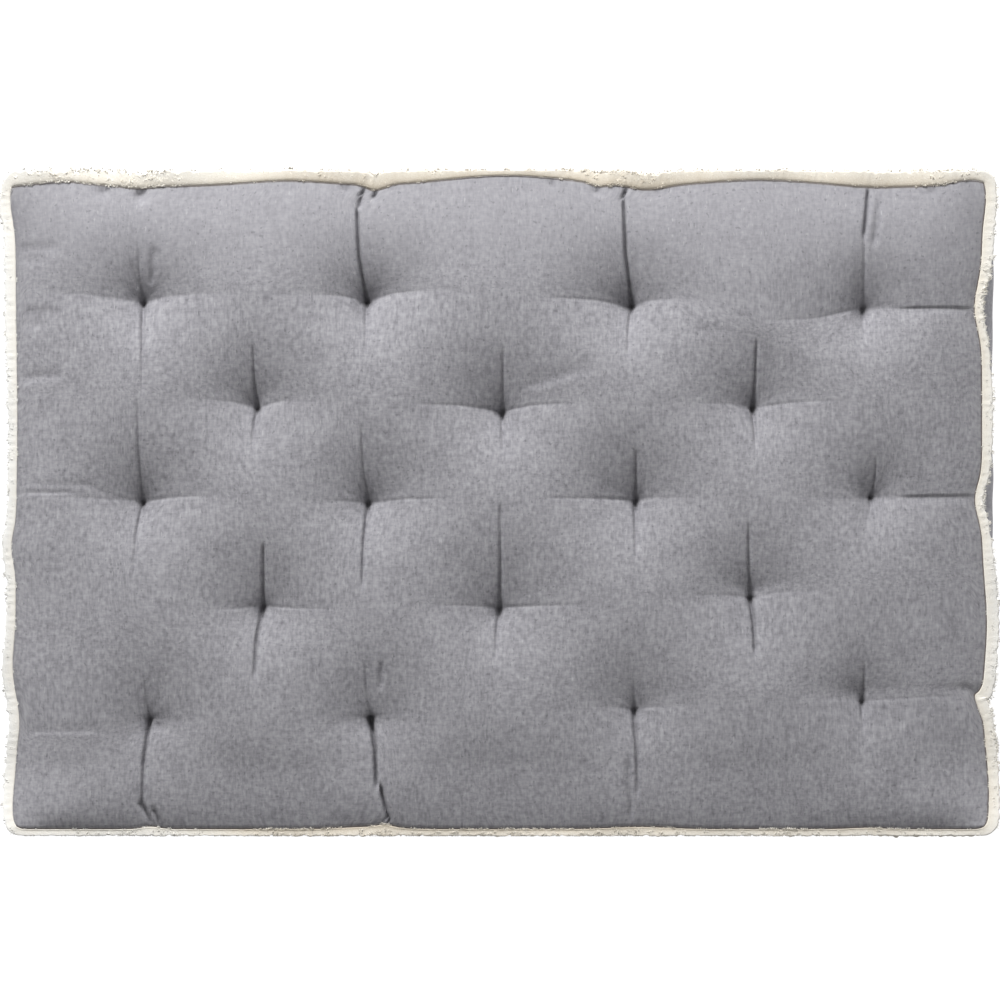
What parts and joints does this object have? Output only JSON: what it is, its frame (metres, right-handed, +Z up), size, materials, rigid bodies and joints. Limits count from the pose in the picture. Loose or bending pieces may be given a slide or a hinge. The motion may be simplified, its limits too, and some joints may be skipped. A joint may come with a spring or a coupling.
{
  "type": "tufted pallet cushion",
  "caption": "Filled, boxed seat cushion for a loading-pallet bench, tufted right through in heather grey cotton, with a frayed ecru trim standing in both edge seams.",
  "frame": {"origin": "middle of the underside, on the surface that the cushion lies on", "axes": "+X along the long side, +Y along the short side, +Z up through the upper panel"},
  "size_m": [1.2459, 0.8417, 0.1064],
  "materials": {
    "heather_cotton": "matt plain-woven heather grey cotton with pale and dark slubs",
    "frayed_cotton": "matt brushed ecru cotton, frayed at its edge"
  },
  "bodies": {
    "root": {"cushion_body": "heather_cotton", "top_trim": "frayed_cotton", "bottom_trim": "frayed_cotton"}
  },
  "joints": []
}
